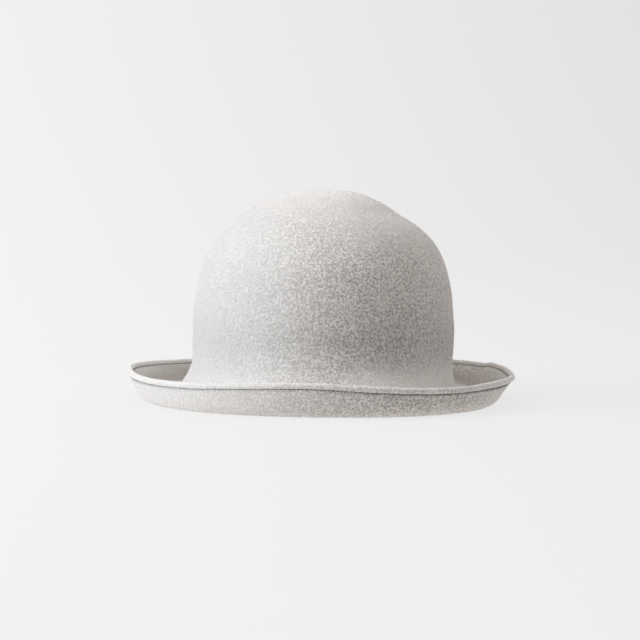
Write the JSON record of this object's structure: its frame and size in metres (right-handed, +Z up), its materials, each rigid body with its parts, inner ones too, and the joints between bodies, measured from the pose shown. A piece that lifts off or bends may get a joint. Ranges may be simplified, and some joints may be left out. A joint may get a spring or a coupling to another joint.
{
  "type": "round-crowned felt hat",
  "caption": "Round-crowned wool felt hat with a bound brim turned up all round, open underneath for the head, with a ribbon sweatband.",
  "frame": {"origin": "middle of the head oval, on the surface that the brim stands on", "axes": "+Z up through the crown, -Y to the front of the hat, +Y to the back, +X to the right-hand side seen from the front"},
  "size_m": [0.2626, 0.302, 0.142],
  "materials": {
    "wool_felt": "melange wool felt, light warm grey, matt with a short nap",
    "binding_felt": "the same melange felt, cut in a narrow strip",
    "spring_wire": "drawn spring steel, dull",
    "joiner_sleeve": "tinned steel sleeve, crimped",
    "sewing_thread": "dark grey spun polyester thread",
    "grosgrain": "ribbed grosgrain ribbon, mid grey",
    "band_thread": "grey spun polyester thread",
    "label_cloth": "plain woven tape, off-white, blank",
    "label_thread": "off-white spun polyester thread",
    "care_satin": "white satin tape, blank, slight sheen"
  },
  "bodies": {
    "root": {"felt_body": "wool_felt", "edge_binding": "binding_felt", "brim_wire": "spring_wire", "wire_joiner": "joiner_sleeve", "binding_needle_thread": "sewing_thread", "binding_bobbin_thread": "sewing_thread", "sweatband": "grosgrain", "sweatband_thread": "band_thread", "sweatband_back_tack": "band_thread", "maker_label": "label_cloth", "label_thread": "label_thread", "size_tab": "label_cloth", "care_label": "care_satin"}
  },
  "joints": []
}
